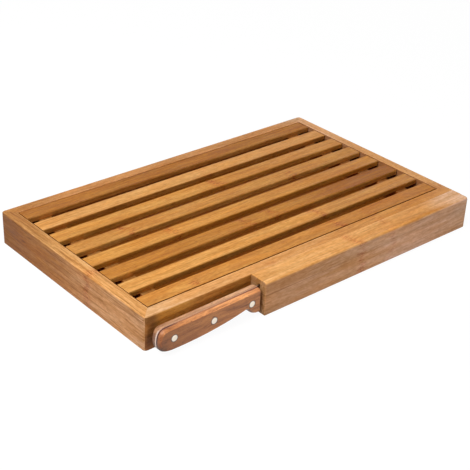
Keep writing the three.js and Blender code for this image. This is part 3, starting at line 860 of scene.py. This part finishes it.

# painted shade along a slat's long top edges
shadedEdge = (0.60, 0.52, 0.40)
slats = {
    "topRound": 0.25,
    "bottomRound": 0.4,
    "endRound": 0.25,
    # for every slat, and then each slat's own look from the back to the front. The dark ends are painted shade
    # in the gaps by the rails, the darker edges are painted shade, and the side shares and drifts hold painted
    # light and shade as well as each slat's tone
    "look": {"side": (1.01, 1.00, 0.86), "ends": (0.33, 0.21, 0.07), "edges": (0.78, 0.72, 0.64)},
    "looks": [
        {"seed": 41, "tone": (180, 116, 43), "contrast": 1.5, "knots": [(114, 0.3, 0.4)],
         "side": (1.47, 1.60, 2.25), "edges": shadedEdge},
        {"seed": 43, "tone": (228, 165, 91), "knots": [(13, 0.3, 0.4)],
         "side": (0.74, 0.62, 0.37), "drifts": [(-40, 120, (0.96, 0.92, 0.90), plain)]},
        {"seed": 47, "tone": (216, 151, 70), "knots": [(9, 0.3, 1.0), (-50, 0.2, 0.4)],
         "drifts": [(-40, 150, (0.90, 0.86, 0.95), plain)]},
        {"seed": 53, "tone": (211, 147, 70), "knots": [(-118, 0.3, 1.0), (84, -0.3, 0.9)],
         "side": (1.16, 1.22, 1.19), "drifts": [(-40, 120, (0.92, 0.89, 0.86), plain)]},
        {"seed": 59, "tone": (220, 153, 70), "knots": [(-85, 0.3, 0.9)],
         "side": (0.93, 0.88, 0.60), "edges": shadedEdge, "drifts": [(-40, 150, (0.86, 0.80, 0.78), plain)]},
        {"seed": 61, "tone": (194, 128, 48), "contrast": 1.25, "knots": [(-20, 0.3, 0.7), (11, 0.3, 0.9)],
         "side": (1.39, 1.54, 1.91), "drifts": [(20, 120, (0.68, 0.56, 0.36), (0.9, 0.9, 0.9))]},
        {"seed": 67, "tone": (232, 166, 85), "knots": [(46, 0.4, 1.0)],
         "side": (0.84, 0.74, 0.46), "edges": shadedEdge, "drifts": [(-40, 140, (0.78, 0.72, 0.66), plain)]},
        {"seed": 71, "tone": (215, 146, 65), "knots": [(-125, 0.3, 0.8), (45, 0.4, 1.0), (87, 0.2, 0.4)],
         "side": (0.53, 0.38, 0.10), "edges": plain, "drifts": [(-60, 140, (0.82, 0.73, 0.60), plain)]},
    ],
}
edges = [slats[side] for side in ("bottomRound", "topRound", "topRound", "bottomRound")]
for index, look in enumerate(slats["looks"]):
    makeBar(f"slat_{index + 1}", {**slats["look"], **look}, "grille", edges, slats["endRound"])

battens = {
    "round": 0.4,
    "looks": {
        # the side shares hold painted light and shade as well as the tone
        "batten_left": {"along": "y", "seed": 73, "tone": (164, 112, 55), "side": (1.35, 0.84, 0.61)},
        "batten_right": {"along": "y", "seed": 79, "tone": (155, 99, 47), "side": (1.35, 1.14, 0.76)},
    },
}
edges = (battens["round"],) * 4
for node, look in battens["looks"].items():
    makeBar(node, look, "grille", edges, battens["round"])
print("grille made")

# The knife. Its own frame has x = 0 at the handle's front end and y = 0 at the spine. The points of topButt,
# butt, belly and guard are shares of the handle's length and height, and all else is in millimetres.
knife = {
    "lowestShare": 0.985,  # where the outline is lowest
    "topButt": (-0.922, -0.06),
    "butt": (((-0.982, -0.07), (-1.0, -0.27), (-1.0, -0.55)),
             ((-1.0, -0.92), (-0.95, -0.99), (-0.82, -0.985))),
    "belly": ((-0.585, -0.99), (-0.34, -0.88), (-0.142, -0.664)),
    "guard": ((-0.105, -0.69), (-0.105, -0.985)),
    "cornerRadius": 2.8,
    "endTrim": 0.9,
    "edgeHeight": 22.3,  # from the spine down to the cutting edge
    "tipLength": 32.0,
    "tipBlunt": 4.0,
    "heelLength": 7.0,
    "toothPitch": 6.5,
    "toothSteps": 9,
    "toothDepth": 1.1,
    "grindWidth": 7.0,
    "edgeThickness": 0.4,
    "arris": 0.12,  # how far the tang's and the scales' sharp edges are broken
}

scaleLow, scaleHigh = boxOf("scale_outer")
handleFront, spineHeight = scaleHigh[0], scaleHigh[2]
handleLength = scaleHigh[0] - scaleLow[0]
handleHeight = (scaleHigh[2] - scaleLow[2]) / knife["lowestShare"]
bladeLow, bladeHigh = boxOf("blade")
bladeLength = bladeHigh[0] - handleFront
tangMiddle = (bladeLow[1] + bladeHigh[1]) / 2
cornerX = knife["endTrim"] - knife["cornerRadius"]  # the centre of the front end's rounded corners


# A curve from the first of four points to the last. The lines to the middle two are its end tangents.
def bezier(points, count):
    t = np.linspace(0, 1, count)[:, None]
    weights = np.hstack([(1 - t) ** 3, 3 * t * (1 - t) ** 2, 3 * t**2 * (1 - t), t**3])
    return weights @ np.array(points, float)


# A curve from start to stop, whose end tangents meet at the bend.
def bentLine(start, bend, stop, count):
    t = np.linspace(0, 1, count)[:, None]
    return (1 - t) ** 2 * np.array(start) + 2 * t * (1 - t) * np.array(bend) + t**2 * np.array(stop)


# Points at a radius round a centre, from one angle to another.
def arc(centre, radius, startTurn, endTurn, count):
    turn = np.linspace(startTurn, endTurn, count)
    return np.array(centre) + radius * np.stack([np.cos(turn), np.sin(turn)], -1)


# The handle's outline, straight along the spine, then curved over the butt, the belly and the guard.
def handleCurve():
    size = np.array([handleLength, handleHeight])
    start, topButt = np.array([cornerX, 0.0]), np.array(knife["topButt"]) * size
    share = np.linspace(0, 1, 24)[:, None]
    pieces = [start * (1 - share) + topButt * share]
    for controls in (*knife["butt"], knife["belly"]):
        points = [pieces[-1][-1], *(np.array(controls) * size)]
        pieces.append(bezier(points, 22)[1:])
    guardEnd = (cornerX, -knife["lowestShare"] * handleHeight)
    points = [pieces[-1][-1], *(np.array(knife["guard"]) * size), guardEnd]
    pieces.append(bezier(points, 18)[1:])
    return np.concatenate(pieces)


# The full outline of the scales: the curve above, and a front end with two rounded corners.
def scaleOutline():
    curve = handleCurve()
    radius = knife["cornerRadius"]
    lower = arc((cornerX, curve[-1, 1] + radius), radius, -quarter, 0, 10)[1:]
    upper = arc((cornerX, -radius), radius, 0, quarter, 10)[:-1]
    return np.concatenate([curve, lower, upper])


# Twice the area that a closed loop goes round, positive when it turns anticlockwise.
def loopArea(x, y):
    return float(np.sum(x * np.roll(y, -1) - np.roll(x, -1) * y))


# Moves a closed loop inwards along its normals, each square to the chord between a point's two neighbours.
def drawnIn(loop, distance):
    chord = np.roll(loop, -1, 0) - np.roll(loop, 1, 0)
    outward = np.stack([chord[:, 1], -chord[:, 0]], -1)
    outward /= np.linalg.norm(outward, axis=1, keepdims=True)
    if loopArea(*loop.T) < 0:
        outward = -outward
    return loop - distance * outward


# Sets a loop drawn in the knife's frame at one depth of the board.
def placed(loop, depth):
    y = np.broadcast_to(depth, len(loop))
    return np.stack([handleFront + loop[:, 0], y, spineHeight + loop[:, 1]], -1)


scales = {
    "rounding": 1.8,
    "crown": 3.8,
    "creaseTurn": math.radians(42),  # where the roll meets the face
    "faceInset": 2.5,  # from the outline to the face's inner ring, less than the corners' radius
}


# A scale: the outline from the tang outwards, straight at first, then drawn in along a quarter ellipse.
def makeScale(node, side, finish):
    low, high = boxOf(node)
    thickness = high[1] - low[1]
    tangFace = high[1] if side < 0 else low[1]
    outline = scaleOutline()
    turn = np.linspace(0, scales["creaseTurn"], 9)
    depth = thickness - scales["crown"] + scales["crown"] * np.sin(turn) / np.sin(turn[-1])
    inset = scales["rounding"] * (1 - np.cos(turn)) / (1 - np.cos(turn[-1]))
    arris = knife["arris"]
    layers = [(arris, 0), (0, arris), *zip(inset, depth - arris / 2), (scales["faceInset"], thickness)]
    rows = []
    for inward, out in layers:
        loop = drawnIn(outline, inward)
        loop[:, 0] = np.minimum(loop[:, 0], 0)
        rows.append(placed(loop, tangFace + side * out))
    makePiece(node + "_wood", np.array(rows), finish, "knife", node, crease=15)


# The blade's edge from the heel to the tip and the tip's curve to the spine. Each tooth is a shallow arc.
def bladeEdge():
    edge = -knife["edgeHeight"]
    heel, pitch, perTooth = knife["heelLength"], knife["toothPitch"], knife["toothSteps"]
    blunt, tip = knife["tipBlunt"], knife["tipLength"]
    teeth = int((bladeLength - heel - tip / 2) / pitch)
    step = np.arange(teeth * perTooth + 1)
    share = (step % perTooth) / perTooth
    scallop = edge + 4 * knife["toothDepth"] * share * (1 - share)
    toothed = np.stack([heel + step * pitch / perTooth, scallop], -1)
    noseTop = (bladeLength, edge + blunt)
    nose = bentLine((bladeLength - blunt, edge), (bladeLength, edge), noseTop, 9)
    tipBack = bentLine(noseTop, (bladeLength - blunt, 0), (bladeLength - tip, 0), 24)[1:]
    return np.concatenate([[(0, edge)], toothed, nose, tipBack])


# Blade and tang in one: the loop of the tang's and the blade's outlines, carried through the thickness.
# On the inner side the lowest part of the blade is ground down to the edge.
def makeBlade():
    radius, arris = knife["cornerRadius"], knife["arris"]
    trimTurn = math.acos(-cornerX / radius)
    curve = handleCurve()
    guardCorner = arc((cornerX, curve[-1, 1] + radius), radius, -quarter, -trimTurn, 6)[1:]
    loop = np.concatenate([curve, guardCorner, bladeEdge()])
    half = (bladeHigh[1] - bladeLow[1]) / 2
    grindTop = knife["grindWidth"] - knife["edgeHeight"]
    onBlade = np.clip(loop[:, 0] / (knife["heelLength"] / 2), 0, 1)
    below = np.clip(grindTop - loop[:, 1], 0, None) * onBlade
    slope = np.clip(below / (knife["grindWidth"] - knife["toothDepth"]), 0, 1)
    edgeY = tangMiddle + half - slope * (2 * half - knife["edgeThickness"])
    raised = drawnIn(loop, arris)
    raised[:, 1] = np.where(below > 0, loop[:, 1] + below, raised[:, 1])
    rows = [
        placed(raised, tangMiddle + half),
        placed(loop, np.minimum(edgeY, tangMiddle + half - arris)),
        placed(loop, np.minimum(edgeY - hair, tangMiddle + arris - half)),
        placed(drawnIn(loop, arris), tangMiddle - half),
    ]
    finish = bladeSteelFinish("blade_finish", handleFront)
    makePiece("blade_steel", np.array(rows), finish, "knife", "blade", crease=20)


rivets = {
    "names": ("rivet_guard", "rivet_middle", "rivet_butt"),
    "shankRadius": 1.9,
    "headDepth": 2.6,
    "dome": 0.25,
    "domeRings": (0.02, 0.2, 0.4, 0.6, 0.8, 0.93),  # shares of the radius
    "rimRound": 0.15,
    "rimInset": 0.045,
    "rimLift": 0.005,
    "columns": 48,
}


# A rivet, turned about its own line across the handle: a low domed head at each end of a thinner shank.
# It gives back where that line lies, as x and z.
def makeRivet(node):
    low, high = boxOf(node)
    centre, half = (low + high) / 2, (high[1] - low[1]) / 2
    radius = (high[0] - low[0]) / 2
    share = np.array(rivets["domeRings"])
    flush = half - rivets["dome"]
    under = half - rivets["headDepth"]
    headR = [*(share * radius), radius - rivets["rimInset"], radius, radius, rivets["shankRadius"]]
    dome = flush + rivets["dome"] * (1 - share**2)
    headY = [*dome, flush + rivets["rimLift"], flush - rivets["rimRound"], under, under]
    profileR = np.array([*headR, *headR[::-1]])
    profileY = np.array([*(-np.array(headY)), *headY[::-1]])
    turn = np.linspace(0, 2 * math.pi, rivets["columns"], endpoint=False)
    x = centre[0] + np.outer(profileR, np.cos(turn))
    z = centre[2] + np.outer(profileR, np.sin(turn))
    y = np.repeat((centre[1] + profileY)[:, None], len(turn), 1)
    finish = rivetFinish(node + "_finish", centre, radius)
    makePiece(node + "_metal", np.dstack([x, y, z]), finish, "knife", node, crease=50)
    return centre[0], centre[2]


def makeKnife():
    places = [makeRivet(node) for node in rivets["names"]]
    radius = np.ptp(np.array(boxOf(rivets["names"][0]))[:, 0]) / 2
    for node, side, seed in (("scale_outer", -1, 40.0), ("scale_inner", 1, 170.0)):
        makeScale(node, side, handleWoodFinish(node, seed, places, radius))
    makeBlade()


makeKnife()
print("knife made")

# Floor, world and lamps
studio = {
    "floorSize": 8.0,
    "floorDrop": 0.0003,  # under the board, in metres
    "floorTone": 0.75,
    "floorRoughness": 0.9,
    "floorGlow": 0.9,  # how much of the floor's look is plain white
    "glowStrength": 1.06,
    "worldStrength": 0.06,
    "lamps": {
        "key_softbox": {"size": (0.9, 0.9), "place": (-0.75, -0.1, 1.1), "watts": 17.4},
        "front_softbox": {"size": (0.9, 0.25), "place": (0.1, -1.5, 0.16), "watts": 6.0},
        "back_softbox": {"size": (0.9, 0.9), "place": (0.1, 1.0, 1.3), "watts": 3.0},
        "right_softbox": {"size": (0.5, 0.5), "place": (1.13, 0.66, 0.63), "watts": 1.0},
    },
}


# 1 for rays that show the background itself: the camera's, and those seen in gloss or through glass.
def seenDirectly(tree):
    rays = addNode(tree, "LightPath").outputs
    shown = calc(tree, "MAXIMUM", rays["Is Camera Ray"], rays["Is Glossy Ray"])
    return calc(tree, "MAXIMUM", shown, rays["Is Transmission Ray"])


# A grey floor that takes the board's shadow, mixed with a white glow.
def makeFloor():
    half = studio["floorSize"] / 2
    corners = [(-half, -half, 0), (half, -half, 0), (half, half, 0), (-half, half, 0)]
    mesh = bpy.data.meshes.new("studio_floor")
    mesh.from_pydata(corners, [], [(0, 1, 2, 3)])
    floor = bpy.data.objects.new("studio_floor", mesh)
    floor.location.z = -studio["floorDrop"]
    scene.collection.objects.link(floor)
    constants = {
        "Base Color": opaque((studio["floorTone"],) * 3),
        "Roughness": studio["floorRoughness"],
        "Specular IOR Level": 0.0,
    }
    material, tree, shader = newFinish("studio_floor_finish", constants)
    glow = addNode(tree, "Emission", {"Strength": studio["glowStrength"]})
    share = times(tree, seenDirectly(tree), studio["floorGlow"])
    mixed = addNode(tree, "MixShader", {0: share, 1: shader.outputs[0], 2: glow.outputs[0]})
    output = next(node for node in tree.nodes if node.type == "OUTPUT_MATERIAL")
    tree.links.new(mixed.outputs[0], output.inputs[0])
    mesh.materials.append(material)


def makeWorld():
    world = bpy.data.worlds.new("studio_world")
    scene.world = world
    world.use_nodes = True
    tree = world.node_tree
    background = next(node for node in tree.nodes if node.type == "BACKGROUND")
    background.inputs["Color"].default_value = opaque(plain)
    strength = spread(tree, seenDirectly(tree), 0.0, 1.0, studio["worldStrength"], 1.0)
    tree.links.new(strength, background.inputs["Strength"])


# Soft lamps, each turned towards the board.
def makeLamps():
    for name, lamp in studio["lamps"].items():
        data = bpy.data.lights.new(name, "AREA")
        data.shape = "RECTANGLE"
        data.size, data.size_y = lamp["size"]
        data.energy = lamp["watts"]
        light = bpy.data.objects.new(name, data)
        light.location = lamp["place"]
        light.rotation_euler = (-Vector(lamp["place"])).to_track_quat("-Z", "Y").to_euler()
        scene.collection.objects.link(light)


makeFloor()
makeWorld()
makeLamps()
scene.view_settings.view_transform = "Standard"
print("studio made")

bpy.context.view_layer.update()
